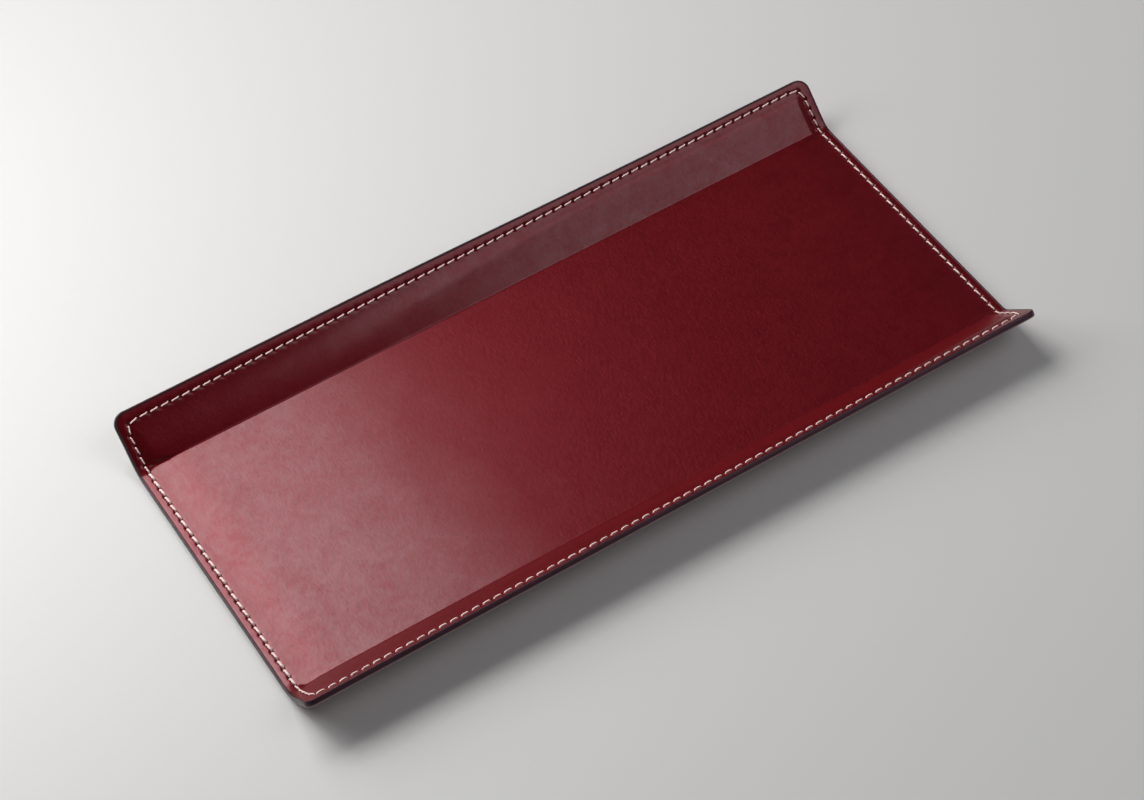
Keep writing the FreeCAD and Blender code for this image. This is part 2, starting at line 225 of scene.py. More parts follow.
@dataclass(frozen=True)
class Outline:
    """The rounded rectangle that both leathers are cut to, walked column by column.

    The far rim is trimmed in a little towards the right, and its corners are rounder.
    """

    sizes: TraySizes
    long_columns: int
    short_columns: int
    arc_columns: int = 12
    inner_radius: float = 1.3
    wobble: float = 0.05
    wobble_length: float = 30.0
    wobble_layer: float = 3.7
    far_trim: float = 0.85
    trim_start: float = -50.0
    far_ease: float = 1.0

    @cached_property
    def stations(self) -> list[Triple]:
        """Each column's share of the half length and half width, and its outward angle."""
        found = []
        corners = ((1, 1), (-1, 1), (-1, -1), (1, -1))
        for index, (along, across) in enumerate(corners):
            start = index * math.pi / 2
            for step in range(self.arc_columns):
                found.append((along, across, start + math.pi / 2 * step / self.arc_columns))
            next_along, next_across = corners[(index + 1) % 4]
            count = self.short_columns if index % 2 else self.long_columns
            for step in range(count):
                share = step / count
                found.append((along + (next_along - along) * share,
                              across + (next_across - across) * share, start + math.pi / 2))
        return found

    def point(self, column: int, inset: float) -> Place:
        """Give a column's place on the flat layout.

        Args:
            column: The column's number.
            inset: How far inside the cut edge, or outside it where negative.

        Returns:
            Its x and w.
        """
        sizes = self.sizes
        along, across, angle = self.stations[column]
        rounding = sizes.corner_radius + self.far_ease * smooth(across)
        radius = max(rounding - sizes.paint - inset, self.inner_radius)
        half_length = sizes.length / 2 - sizes.paint - inset - radius
        half_width = sizes.rim - sizes.paint - inset - radius
        x, w = along * half_length, across * half_width
        reach = radius + self.wobble * (drift(x, w, self.wobble_length, self.wobble_layer) - 1.0)
        return x + reach * math.cos(angle), w + reach * math.sin(angle) - self._trim(x, w, inset)

    def _trim(self, x: float, w: float, inset: float) -> float:
        """Say how far the far rim was cut in, which grows to the right and ends at the seam."""
        sizes = self.sizes
        grown = smooth((x - self.trim_start) / (sizes.length / 2))
        off_seam = 1.0 - smooth((inset + sizes.paint) / sizes.end_margin)
        upright = sizes.rim - sizes.corner_radius * 2 - sizes.fold_end
        at_rim = smooth((w - sizes.fold_end) / upright)
        return self.far_trim * grown * off_seam * at_rim


class Seam:
    """The needle holes round the tray, and the straight lines of thread between them."""

    def __init__(self, sizes: TraySizes) -> None:
        """Set out the holes.

        Args:
            sizes: The tray's dimensions.
        """
        self.sizes = sizes
        self.holes = self._set_out()
        self._tree = kdtree.KDTree(len(self.holes))
        for index, (x, w) in enumerate(self.holes):
            self._tree.insert((x, w, 0.0), index)
        self._tree.balance()

    def _row(self, start: Place, end: Place) -> list[Place]:
        """Space holes from start up to, not with, end, as near the pitch as fits."""
        count = max(1, round(math.dist(start, end) / self.sizes.stitch_pitch))
        return [(start[0] + (end[0] - start[0]) * step / count,
                 start[1] + (end[1] - start[1]) * step / count) for step in range(count)]

    def _set_out(self) -> list[Place]:
        """List the holes in sewing order, with one set inwards at each corner."""
        sizes = self.sizes
        end_row = sizes.length / 2 - sizes.end_margin
        wall_row = sizes.rim - sizes.wall_margin
        corner_x = end_row - sizes.corner_setback
        corner_w = wall_row - sizes.corner_drop
        above_fold = sizes.fold_end + sizes.fold_lead
        below_fold = sizes.fold_start - sizes.fold_lead
        along = self._row((-corner_x, corner_w), (corner_x, corner_w))
        down = self._row((end_row, corner_w), (end_row, above_fold))
        floor = self._row((end_row, below_fold), (end_row, -below_fold))
        up = self._row((end_row, -above_fold), (end_row, -corner_w))
        half = along[:1] + [(x, wall_row) for x, _ in along[1:]]
        half += [(corner_x, corner_w)] + down[1:] + [(end_row, above_fold)]
        half += floor + [(end_row, -below_fold)] + up
        return half + [(-x, -w) for x, w in half]

    def distances(self, x: float, w: float) -> tuple[float, float]:
        """Measure from a place to the seam.

        Args:
            x: Place along the tray.
            w: Place across it.

        Returns:
            The distance to the nearest hole and to the nearest line of thread.
        """
        _, index, to_hole = self._tree.find((x, w, 0.0))
        count = len(self.holes)
        to_line = min(self._to_line(x, w, self.holes[(index + step) % count], self.holes[index])
                      for step in (-1, 1))
        return to_hole, to_line

    @staticmethod
    def _to_line(x: float, w: float, start: Place, end: Place) -> float:
        """Measure from a place to the line between two holes."""
        run_x, run_w = end[0] - start[0], end[1] - start[1]
        share = ((x - start[0]) * run_x + (w - start[1]) * run_w) / (run_x ** 2 + run_w ** 2)
        held = min(max(share, 0.0), 1.0)
        return math.dist((x, w), (start[0] + run_x * held, start[1] + run_w * held))


@dataclass(frozen=True)
class Relief:
    """The shape of a leather's shown face, as heights off the parting surface.

    Each wave in the panel has its height, its length and its random layer.
    """

    sizes: TraySizes
    seam: Seam
    step: float
    edge_drop: float = 0.14
    edge_roll: float = 2.6
    groove_depth: float = 0.09
    groove_width: float = 0.6
    hole_depth: float = 0.42
    hole_width: float = 0.46
    dark_width: float = 0.36
    pucker: float = 0.02
    pucker_place: float = 1.1
    pucker_width: float = 0.4
    pucker_start: float = 0.6
    pucker_fade: float = 1.2
    seam_reach: float = 2.2
    corner_blend: float = 1.6
    waves: tuple[Triple, ...] = ((0.05, 42.0, 0.5), (0.02, 11.0, 8.1))
    gentle_run: float = 12.0
    wall_soft: float = 60.0
    end_blend: float = 4.0
    left_top: float = 3.0
    right_top: float = 0.0

    def panel_share(self, x: float, w: float, shown: bool) -> float:
        """Say how far a place is up the slope from the margin, 0, to the panel, 1.

        Args:
            x: Place along the tray.
            w: Place across it.
            shown: Whether it is on the shown face, where the thinned leather comes down more
                gently than the core does, along the floor's open ends and the walls' left.

        Returns:
            The share.
        """
        sizes = self.sizes
        from_end = sizes.length / 2 - sizes.end_margin - sizes.foot_gap - abs(x)
        from_rim = sizes.rim - sizes.wall_margin - sizes.foot_gap - abs(w)
        if shown:
            stretch = 1.0 - sizes.slope_run / self.gentle_run
            top = self.left_top if x < 0 else self.right_top
            from_end *= 1.0 - stretch * smooth((sizes.fold_end + top - abs(w)) / self.end_blend)
            from_rim *= 1.0 - stretch * smooth((self.wall_soft - x) / (2.0 * self.wall_soft))
        blend = max(self.corner_blend - abs(from_end - from_rim), 0.0)
        nearest = min(from_end, from_rim) - blend * blend / (4.0 * self.corner_blend)
        return smooth(nearest / sizes.slope_run)

    def edge_height(self, inset: float) -> float:
        """Give the margin's height at a distance inside the cut edge, where it rolls down."""
        share = max(1.0 - inset / self.edge_roll, 0.0)
        return self.sizes.skin - self.edge_drop * share * share

    def height(self, x: float, w: float, inset: float) -> tuple[float, float]:
        """Give a place's height and how deep in the seam it lies.

        Args:
            x: Place along the tray.
            w: Place across it.
            inset: Its distance inside the cut edge.

        Returns:
            The height, and a mask that is 1 in a needle hole and fades out round it.
        """
        panel = self.panel_share(x, w, shown=True)
        level = self.edge_height(inset) + self.step * panel
        level += sum(size * (drift(x, w, length, layer) - 1.0) * panel
                     for size, length, layer in self.waves)
        to_hole, to_line = self.seam.distances(x, w)
        if to_hole > self.seam_reach:
            return level, 0.0
        groove = math.exp(-(to_line / self.groove_width) ** 2)
        hole = math.exp(-(to_hole / self.hole_width) ** 2)
        # This mask paints shade into each needle hole, and roughens it.
        dark = math.exp(-(to_hole / self.dark_width) ** 2)
        beside = math.exp(-((to_line - self.pucker_place) / self.pucker_width) ** 2)
        away = smooth((to_hole - self.pucker_start) / self.pucker_fade)
        pulled = self.pucker * beside * (1.0 - away)
        return level - self.groove_depth * groove - self.hole_depth * hole - pulled, dark


class LoopMesh:
    """A mesh grown loop by loop round the tray's outline, while it lies flat."""

    def __init__(self, outline: Outline) -> None:
        """Start an empty mesh.

        Args:
            outline: The outline that its loops follow.
        """
        self.outline = outline
        self.bm = bmesh.new()
        self.column = self.bm.verts.layers.int.new("column")
        self.inset = self.bm.verts.layers.float.new("inset")

    def first_loop(self, inset: float, height: float) -> Edges:
        """Lay the first loop.

        Args:
            inset: Its distance inside the cut edge.
            height: Its height off the parting surface.

        Returns:
            The loop's edges.
        """
        made = bmesh.ops.create_circle(self.bm, segments=len(self.outline.stations), radius=1.0)
        for index, vertex in enumerate(made["verts"]):
            vertex[self.column] = index
        self._settle(made["verts"], inset, height)
        return list(self.bm.edges)

    def next_loop(self, edges: Edges, inset: float, height: float) -> Edges:
        """Grow a band of faces from one loop to the next.

        Args:
            edges: The loop to grow from.
            inset: The new loop's distance inside the cut edge.
            height: The new loop's height off the parting surface.

        Returns:
            The new loop's edges.
        """
        grown = bmesh.ops.extrude_edge_only(self.bm, edges=edges)["geom"]
        vertices = [item for item in grown if isinstance(item, BMVert)]
        self._settle(vertices, inset, height)
        fresh = set(vertices)
        return [item for item in grown
                if isinstance(item, BMEdge) and fresh.issuperset(item.verts)]

    def _settle(self, vertices: list[BMVert], inset: float, height: float) -> None:
        """Put a loop's vertices where their columns and the inset say."""
        for vertex in vertices:
            x, w = self.outline.point(vertex[self.column], inset)
            vertex.co = (x, w, height)
            vertex[self.inset] = inset

    def fill_with_grid(self, edges: Edges, lines_x: list[float], lines_w: list[float],
                       inset: float, height: float) -> None:
        """Close a loop with a coarser grid of faces and a band of triangles round it.

        Args:
            edges: The loop to close.
            lines_x: Where the grid's lines stand along the tray.
            lines_w: Where they stand across it.
            inset: The distance inside the cut edge that the grid's vertices are given.
            height: Their height off the parting surface.
        """
        made = bmesh.ops.create_grid(self.bm, x_segments=len(lines_x) - 1,
                                     y_segments=len(lines_w) - 1, size=1.0)
        for vertex in made["verts"]:
            row = round((vertex.co.x + 1.0) / 2.0 * (len(lines_x) - 1))
            line = round((vertex.co.y + 1.0) / 2.0 * (len(lines_w) - 1))
            vertex.co = (lines_x[row], lines_w[line], height)
            vertex[self.inset] = inset
        near = dict.fromkeys(edge for vertex in made["verts"] for edge in vertex.link_edges)
        rim = [edge for edge in near if len(edge.link_faces) == 1]
        bmesh.ops.triangle_fill(self.bm, edges=edges + rim, use_beauty=True)

    def finish(self, name: str, fold: Fold) -> Object:
        """Fold the flat mesh into the tray's frame and make it an object.

        Args:
            name: The piece's name.
            fold: What folds it.

        Returns:
            The new object, at the origin.
        """
        bmesh.ops.recalc_face_normals(self.bm, faces=self.bm.faces)
        for vertex in self.bm.verts:
            vertex.co = fold.place(*vertex.co)
        return as_object(name, self.bm)


def add_object(name: str, data: ID) -> Object:
    """Put an object with some data at the scene's origin."""
    made = bpy.data.objects.new(name, data)
    bpy.context.scene.collection.objects.link(made)
    return made


def as_object(name: str, bm: BMesh) -> Object:
    """Make a smooth-shaded object of a finished mesh.

    Args:
        name: The object's name.
        bm: The mesh, which is freed.

    Returns:
        The new object, at the origin.
    """
    for surface in bm.faces:
        surface.smooth = True
    mesh = bpy.data.meshes.new(name)
    bm.to_mesh(mesh)
    bm.free()
    return add_object(name, mesh)


def spaced(start: float, end: float, step: float) -> list[float]:
    """Space lines evenly from start to end, about a step apart, with both ends."""
    count = max(1, round((end - start) / step))
    return [start + (end - start) * index / count for index in range(count + 1)]


@dataclass(frozen=True)
class Leather:
    """One of the two leathers, with its shown face in full relief and its glued face plain."""

    sizes: TraySizes
    seam: Seam
    fold: Fold
    outline: Outline
    shows: Face
    name: str
    step: float
    rows: tuple[float, ...] = (0.0, 0.06, 0.18, 0.36, 0.6, 0.95, 1.35, 1.75, 2.05, 2.3, 2.52, 2.75,
                               2.98, 3.2, 3.45, 3.7, 4.0, 4.35, 4.75, 5.15, 5.6, 6.1, 6.6, 7.2, 8.0,
                               8.9, 9.9)
    glued_row: float = 3.4
    grid_inset: float = 12.0
    grid_step: float = 3.0
    fold_step: float = 0.22
    fold_lap: float = 0.4

    def build(self) -> Object:
        """Model the leather flat, shape its shown face and fold it.

        Returns:
            The finished object.
        """
        sizes = self.sizes
        mesh = LoopMesh(self.outline)
        sign = self.shows.value
        cut = mesh.first_loop(0.0, 0.0)
        shown = cut
        for row in self.rows:
            shown = mesh.next_loop(shown, row, sizes.skin * sign)
        grid = (self._lines_x(), self._lines_w(), self.grid_inset)
        mesh.fill_with_grid(shown, *grid, sizes.skin * sign)
        glued = mesh.next_loop(cut, self.glued_row, 0.0)
        mesh.fill_with_grid(glued, *grid, 0.0)
        self._shape(mesh)
        return mesh.finish(self.name, self.fold)

    def _lines_x(self) -> list[float]:
        """Place the plain grid's lines along the tray."""
        half = self.sizes.length / 2 - self.sizes.paint - self.grid_inset
        return spaced(-half, half, self.grid_step)

    def _lines_w(self) -> list[float]:
        """Place the plain grid's lines across the tray, close together in the folds."""
        sizes = self.sizes
        half = sizes.rim - sizes.paint - self.grid_inset
        low, high = sizes.fold_start - self.fold_lap, sizes.fold_end + self.fold_lap
        fold = spaced(low, high, self.fold_step)
        wall = spaced(high, half, self.grid_step)
        side = fold + wall[1:]
        return [-w for w in reversed(side)] + spaced(-low, low, self.grid_step)[1:-1] + side

    def _shape(self, mesh: LoopMesh) -> None:
        """Raise and dent the flat faces, and note where the seam and margin are."""
        relief = Relief(self.sizes, self.seam, self.step)
        sign = self.shows.value
        hole_mask = mesh.bm.verts.layers.float.new("hole")
        margin_mask = mesh.bm.verts.layers.float.new("margin")
        for vertex in mesh.bm.verts:
            x, w, level = vertex.co
            if abs(level) < WELD:
                vertex.co.z = sign * self.step * relief.panel_share(x, w, shown=False)
                continue
            height, hole = relief.height(x, w, vertex[mesh.inset])
            vertex.co.z = sign * height
            vertex[hole_mask] = hole
            vertex[margin_mask] = 1.0 - relief.panel_share(x, w, shown=True)


@dataclass(frozen=True)
class EdgePaint:
    """The paint that seals the cut edges: a thin coat, square with rounded corners."""

    sizes: TraySizes
    fold: Fold
    outline: Outline
    lap: float = 0.45
    corner: float = 0.28
    corner_steps: int = 5
    belly: float = 0.03
    belly_height: float = 0.3
    top_drop: float = 0.05
    film: float = 0.012
    lap_sink: float = 0.02
    lap_edge: float = 0.06
    shoulder: float = 0.08
    root: float = 0.5
    # Width of the highlight painted along the lower outside corner.
    glint_width: float = 0.2

    def profile(self) -> list[Place]:
        """List the coat's section from its upper lap round to its lower one.

        Returns:
            Pairs of inset and height, closed along the cut edge.
        """
        sizes = self.sizes
        relief_top = sizes.skin - Relief.edge_drop * (1.0 - self.lap / Relief.edge_roll) ** 2
        outer = self.belly - sizes.paint
        top = sizes.skin - self.top_drop
        upper = [(self.lap, relief_top - self.lap_sink),
                 (self.lap - self.lap_edge, relief_top + self.film), (self.shoulder, top)]
        arc = []
        for step in range(self.corner_steps + 1):
            angle = math.pi / 2 * step / self.corner_steps
            arc.append((outer + self.corner * (1.0 - math.sin(angle)),
                        top - self.corner * (1.0 - math.cos(angle))))
        half = upper + arc + [(outer - self.belly, self.belly_height)]
        mirrored = [(inset, -height) for inset, height in reversed(half)]
        return half + mirrored + [(0.0, -self.root), (0.0, self.root)]

    def build(self) -> Object:
        """Sweep the section round the tray and fold it.

        Returns:
            The finished object.
        """
        mesh = LoopMesh(self.outline)
        section = self.profile()
        loop = mesh.first_loop(*section[0])
        for inset, height in section[1:]:
            loop = mesh.next_loop(loop, inset, height)
        mesh.next_loop(loop, *section[0])
        bmesh.ops.remove_doubles(mesh.bm, verts=mesh.bm.verts, dist=WELD)
        # A highlight painted on the lower outside corner, where it catches light.
        painted_glint = mesh.bm.verts.layers.float.new("painted_glint")
        for vertex in mesh.bm.verts:
            reach = math.dist((vertex[mesh.inset], vertex.co.z), self._glint_corner())
            vertex[painted_glint] = math.exp(-(reach / self.glint_width) ** 2)
        return mesh.finish("edge_paint_coat", self.fold)

    def _glint_corner(self) -> Place:
        """Give the inset and height of the lower outside corner, where a highlight is painted on.
        """
        bevel = self.corner * (1.0 - math.sqrt(0.5))
        return bevel - self.sizes.paint, bevel + self.top_drop - self.sizes.skin


@dataclass(frozen=True)
class Station:
    """One ring of a thread: its centre on the flat layout, the way across it, and its size."""

    place: Place
    across: Place
    height: float
    radius: float


@dataclass(frozen=True)
class Thread:
    """One of the two threads of the lockstitched seam, three plies twisted into one.

    Each stitch leans over its line a little: it comes up on the inner side of its hole and goes
    down on the outer side of the next. Along the open ends the upper thread is less tight, most
    of all on the left, so there it stands prouder and looks thicker. A ring of the dive has its
    place from the stitch's end and its shares of the height and the hook.
    """

    sizes: TraySizes
    seam: Seam
    fold: Fold
    shows: Face
    name: str
    radius: float = 0.22
    loose_radius: float = 0.38
    reach: float = 0.62
    low: float = 0.12
    bar_height: float = 1.14
    lean: float = 0.05
    hook: float = 0.13
    bar_step: float = 0.35
    plies: int = 3
    corners: int = 9
    ply_relief: float = 0.13
    lay: float = 1.7
    end_reach: float = 6.0
    end_fade: float = 2.0
    fold_fade: float = 3.0
    right_slack: float = 0.2
    dive: tuple[Triple, ...] = (
        (-0.2, 0.06, 1.0), (-0.04, 0.45, 1.0), (0.03, 0.8, 0.8), (0.16, 0.95, 0.5))

    def _looseness(self, start: Place, end: Place) -> float:
        """Say how loose a stitch is: 1 along the left end's floor and 0 along the walls."""
        middle_x, middle_w = (start[0] + end[0]) / 2, (start[1] + end[1]) / 2
        on_end = smooth((abs(middle_x) - self.sizes.length / 2 + self.end_reach) / self.end_fade)
        slack = self.right_slack if middle_x > 0 else 1.0
        return slack * on_end * smooth((self.sizes.fold_end - abs(middle_w)) / self.fold_fade)

    def _stitch(self, before: Place, start: Place, end: Place) -> Iterator[Station]:
        """Walk one stitch from the middle of its first hole up to the next hole.

        Args:
            before: The hole ahead of its first one.
            start: Its first hole.
            end: Its second hole.

        Yields:
            The stitch's rings.
        """
        loose = self._looseness(start, end) if self.shows is Face.UPPER else 0.0
        radius = self.radius + (self.loose_radius - self.radius) * loose
        top = self.bar_height + (radius - self.radius)
        pitch = math.dist(start, end)
        run = ((end[0] - start[0]) / pitch, (end[1] - start[1]) / pitch)
        came = math.dist(before, start)
        facing = (run[0] + (start[0] - before[0]) / came, run[1] + (start[1] - before[1]) / came)
        size = math.hypot(*facing)
        yield Station(start, (facing[1] / size, -facing[0] / size), self.low, radius)
        rings = [(self.reach + reach, height * top, self.lean + self.hook * hooked)
                 for reach, height, hooked in self.dive]
        bar_start = self.reach + self.dive[-1][0]
        bar = spaced(bar_start, pitch - bar_start, self.bar_step)[1:-1]
        rings += [(reach, top, self.lean * (1.0 - 2.0 * reach / pitch)) for reach in bar]
        rings += [(pitch - self.reach - reach, height * top, -self.lean - self.hook * hooked)
                  for reach, height, hooked in reversed(self.dive)]
        across = (run[1], -run[0])
        for reach, height, over in rings:
            place = (start[0] + run[0] * reach + across[0] * over,
                     start[1] + run[1] * reach + across[1] * over)
            yield Station(place, across, height, radius)

    def _rings(self) -> list[Station]:
        """List the whole thread's rings in sewing order."""
        holes = self.seam.holes
        following = holes[1:] + holes[:1]
        return [ring for index, after in enumerate(following)
                for ring in self._stitch(holes[index - 1], holes[index], after)]

    def build(self) -> Object:
        """Roll a grid of faces into the twisted thread and join its two ends.

        Returns:
            The finished object.
        """
        sign = self.shows.value
        rings = self._rings()
        count = len(rings)
        centres = [self.fold.place(*ring.place, ring.height * sign) for ring in rings]
        gaps = [(centres[index] - centres[index - 1]).length for index in range(count)]
        length = sum(gaps)
        turns = round(length / (self.lay * METRES))
        gone = [0.0]
        for gap in gaps[1:] + gaps[:1]:
            gone.append(gone[-1] + gap)
        bm = bmesh.new()
        bmesh.ops.create_grid(bm, x_segments=count, y_segments=self.corners, size=1.0)
        for vertex in bm.verts:
            number = round((vertex.co.x + 1.0) / 2.0 * count)
            lobe = math.tau * round((vertex.co.y + 1.0) / 2.0 * self.corners) / self.corners
            index = number % count
            ahead = centres[(index + 1) % count] - centres[index - 1]
            across = Vector((*rings[index].across, 0.0))
            upright = across.cross(ahead).normalized()
            across = ahead.cross(upright).normalized()
            angle = lobe + math.tau * turns * gone[number] / length
            swell = 1.0 + self.ply_relief * math.cos(self.plies * lobe)
            offset = across * math.cos(angle) + upright * math.sin(angle)
            vertex.co = centres[index] + offset * (rings[index].radius * swell * METRES)
        bmesh.ops.remove_doubles(bm, verts=bm.verts, dist=WELD)
        bmesh.ops.recalc_face_normals(bm, faces=bm.faces)
        return as_object(self.name, bm)


@dataclass(frozen=True)
class NoiseLook:
    """A noise texture's settings."""

    scale: float
    detail: float = 2.0
    roughness: float = 0.5
    distortion: float = 0.0


@dataclass
class Graph:
    """Short calls for building one node tree."""

    tree: NodeTree

    def add(self, kind: str, values: Values | None = None, **settings: object) -> Node:
        """Add one node.

        Args:
            kind: Its type.
            values: What its input sockets are set to, or the sockets that feed them, by name.
            settings: Its own properties.

        Returns:
            The node.
        """
        node = self.tree.nodes.new(kind)
        for name, setting in settings.items():
            setattr(node, name, setting)
        self.fill(node, values or {})
        return node

    def fill(self, node: Node, values: Values) -> None:
        """Feed several of a node's inputs, by name."""
        for name, value in values.items():
            self.feed(node.inputs[name], value)

    def feed(self, socket: Socket, value: object) -> None:
        """Set an input, or link it where the value is another node's socket."""
        if isinstance(value, Socket):
            self.tree.links.new(value, socket)
        elif socket.type == "RGBA":
            socket.default_value = (*value, 1.0)
        else:
            socket.default_value = value

    def math(self, operation: str, first: object, second: object) -> Socket:
        """Add a math node and give its result."""
        node = self.add("ShaderNodeMath", operation=operation)
        self.feed(node.inputs[0], first)
        self.feed(node.inputs[1], second)
        return node.outputs[0]

    def total(self, *parts: tuple[object, object]) -> Socket:
        """Add up pairs of a value and its weight and give the result."""
        result = self.math("MULTIPLY", *parts[0])
        for part in parts[1:]:
            result = self.math("ADD", result, self.math("MULTIPLY", *part))
        return result

    def blend(self, share: object, first: object, second: object) -> Socket:
        """Mix two colours and give the result."""
        node = self.add("ShaderNodeMix", data_type="RGBA")
        for socket, value in zip(MIX_INPUTS, (share, first, second)):
            self.feed(node.inputs[socket], value)
        return node.outputs[MIX_OUTPUT]

    def spread(self, value: Socket, span: Span, target: Span = UNIT) -> Socket:
        """Stretch one span of values to another and give the result."""
        return self.add("ShaderNodeMapRange", {
            "Value": value, "From Min": span[0], "From Max": span[1],
            "To Min": target[0], "To Max": target[1]}).outputs[0]

    def noise(self, place: Socket, look: NoiseLook, density: Socket | None = None) -> Socket:
        """Lay a noise over a piece.

        Args:
            place: The place on the piece.
            look: The noise's settings.
            density: What its scale is a share of, if anything.

        Returns:
            The noise, from 0 to 1.
        """
        scale = look.scale if density is None else self.math("MULTIPLY", density, look.scale)
        return self.add("ShaderNodeTexNoise", {
            "Vector": place, "Scale": scale, "Detail": look.detail,
            "Roughness": look.roughness, "Distortion": look.distortion}).outputs[0]

    def mapped(self, place: Socket, stretch: Triple, turn: float = 0.0) -> Socket:
        """Turn a place about the upright, in radians, and stretch it."""
        return self.add("ShaderNodeMapping", {
            "Vector": place, "Rotation": (0.0, 0.0, turn), "Scale": stretch}).outputs[0]


class Surface(Graph):
    """One material's node tree, round its Principled shader."""

    def __init__(self, name: str) -> None:
        """Start the material.

        Args:
            name: Its name.
        """
        self.material = bpy.data.materials.new(name)
        self.material.use_nodes = True
        super().__init__(self.material.node_tree)

    def place(self) -> Socket:
        """Give the place on the piece, which every texture hangs on."""
        return self.add("ShaderNodeTexCoord").outputs["Object"]

    def mask(self, name: str) -> Socket:
        """Give a value that the piece's mesh carries."""
        return self.add("ShaderNodeAttribute", attribute_name=name).outputs["Fac"]

    def bump(self, height: Socket, strength: float, depth: float) -> Socket:
        """Turn a height into the way the surface faces."""
        return self.add("ShaderNodeBump", {
            "Height": height, "Strength": strength, "Distance": depth}).outputs[0]

    def finish(self, values: Values) -> Material:
        """Feed the shader and give the material."""
        self.fill(self.tree.nodes["Principled BSDF"], values)
        return self.material


@dataclass(frozen=True)
class Hide:
    """The grain and mottle that both leathers share.

    Scales are shares of the grains' density. Each cloud has its noise, the span of it that shows
    and its share.
    """

    wrinkle: NoiseLook = NoiseLook(0.28, 3.0, 0.55, 1.2)
    fibre: NoiseLook = NoiseLook(2.3)
    stroke: NoiseLook = NoiseLook(1.4)
    stroke_stretch: Triple = (1.0, 0.28, 0.6)
    stroke_turns: Span = (0.5, -0.75)
    stroke_span: Span = (0.45, 0.7)
    stroke_share: float = 0.4
    stroke_height: float = 1.0
    wrinkle_height: float = 1.1
    pore_span: Span = (0.15, 0.75)
    pore_height: float = -0.45
    clouds: tuple[tuple[NoiseLook, Span, float], ...] = (
        (NoiseLook(0.1, 4.0, 0.6, 0.6), (0.36, 0.64), 0.35),
        (NoiseLook(0.3), (0.34, 0.66), 0.25))

    def group(self) -> NodeTree:
        """Build the node group.

        Returns:
            A group with the outputs Height and Mottle.
        """
        group = bpy.data.node_groups.new("leather_hide", "ShaderNodeTree")
        for name, kind in (("Vector", "NodeSocketVector"), ("Grain Size", "NodeSocketFloat"),
                           ("Fibre", "NodeSocketFloat")):
            group.interface.new_socket(name, in_out="INPUT", socket_type=kind)
        for name in ("Height", "Mottle"):
            group.interface.new_socket(name, in_out="OUTPUT", socket_type="NodeSocketFloat")
        graph = Graph(group)
        given = graph.add("NodeGroupInput").outputs
        place = given["Vector"]
        density = graph.math("DIVIDE", 1.0, given["Grain Size"])
        pebble = graph.add("ShaderNodeTexVoronoi", {"Vector": place, "Scale": density},
                           feature="SMOOTH_F1")
        strokes = graph.math("MAXIMUM", *(
            graph.noise(graph.mapped(place, self.stroke_stretch, turn), self.stroke, density)
            for turn in self.stroke_turns))
        height = graph.total(
            (graph.spread(pebble.outputs["Distance"], self.pore_span), self.pore_height),
            (graph.noise(place, self.wrinkle, density), self.wrinkle_height),
            (graph.noise(place, self.fibre, density), given["Fibre"]),
            (strokes, self.stroke_height))
        clouds = [(graph.spread(graph.noise(place, look, density), span), share)
                  for look, span, share in self.clouds]
        mottle = graph.total(
            *clouds, (graph.spread(strokes, self.stroke_span), self.stroke_share))
        graph.add("NodeGroupOutput", {"Height": height, "Mottle": mottle})
        return group


@dataclass(frozen=True)
class LeatherFinish:
    """Dyed calf leather under a thin clear finish, with painted shade in the needle holes, darker
    along its margin.

    The dyed grain has a broad red shine of its own, and the clear finish over it a tighter one.
    Seen at a low angle, the fine red nap of the grain glows.
    """

    name: str
    deep: Colour = (0.042, 0.0014, 0.0023)
    light: Colour = (0.061, 0.0023, 0.0036)
    burnish: Colour = (0.038, 0.0020, 0.0034)
    # Painted shade for the needle holes.
    hole: Colour = (0.012, 0.0012, 0.0016)
    hole_shade_span: Span = (0.15, 0.75)
    hole_roughness: float = 0.3
    shine: Colour = (1.0, 0.0, 0.05)
    shine_level: float = 0.70
    roughness: Span = (0.36, 0.44)
    finish_weight: Span = (0.17, 0.34)
    finish_roughness: float = 0.18
    finish_index: float = 1.8
    nap: Colour = (1.0, 0.02, 0.04)
    nap_weight: float = 0.15
    nap_roughness: float = 0.6
    margin_share: float = 0.25
    fibre: float = 0.25
    grain_size: float = 0.0009
    grain_depth: float = 0.00006
    grain_strength: float = 1.0

    def material(self, hide: NodeTree) -> Material:
        """Build the material.

        Args:
            hide: The grain group.

        Returns:
            The new material.
        """
        graph = Surface(self.name)
        grain = graph.add("ShaderNodeGroup", node_tree=hide)
        graph.fill(grain, {"Vector": graph.place(), "Grain Size": self.grain_size,
                           "Fibre": self.fibre})
        mottle = grain.outputs["Mottle"]
        hole = graph.mask("hole")
        margin = graph.math("MULTIPLY", graph.mask("margin"), self.margin_share)
        colour = graph.blend(mottle, self.deep, self.light)
        colour = graph.blend(margin, colour, self.burnish)
        # Paint shade into the needle holes.
        colour = graph.blend(graph.spread(hole, self.hole_shade_span), colour, self.hole)
        sunk = graph.math("MULTIPLY", hole, self.hole_roughness)
        return graph.finish({
            "Base Color": colour,
            "Roughness": graph.math("ADD", graph.spread(mottle, UNIT, self.roughness), sunk),
            "Specular IOR Level": self.shine_level,
            "Specular Tint": self.shine,
            "Coat Weight": graph.spread(mottle, UNIT, self.finish_weight),
            "Coat Roughness": self.finish_roughness,
            "Coat IOR": self.finish_index,
            "Sheen Weight": self.nap_weight,
            "Sheen Roughness": self.nap_roughness,
            "Sheen Tint": self.nap,
            "Normal": graph.bump(grain.outputs["Height"], self.grain_strength, self.grain_depth),
        })


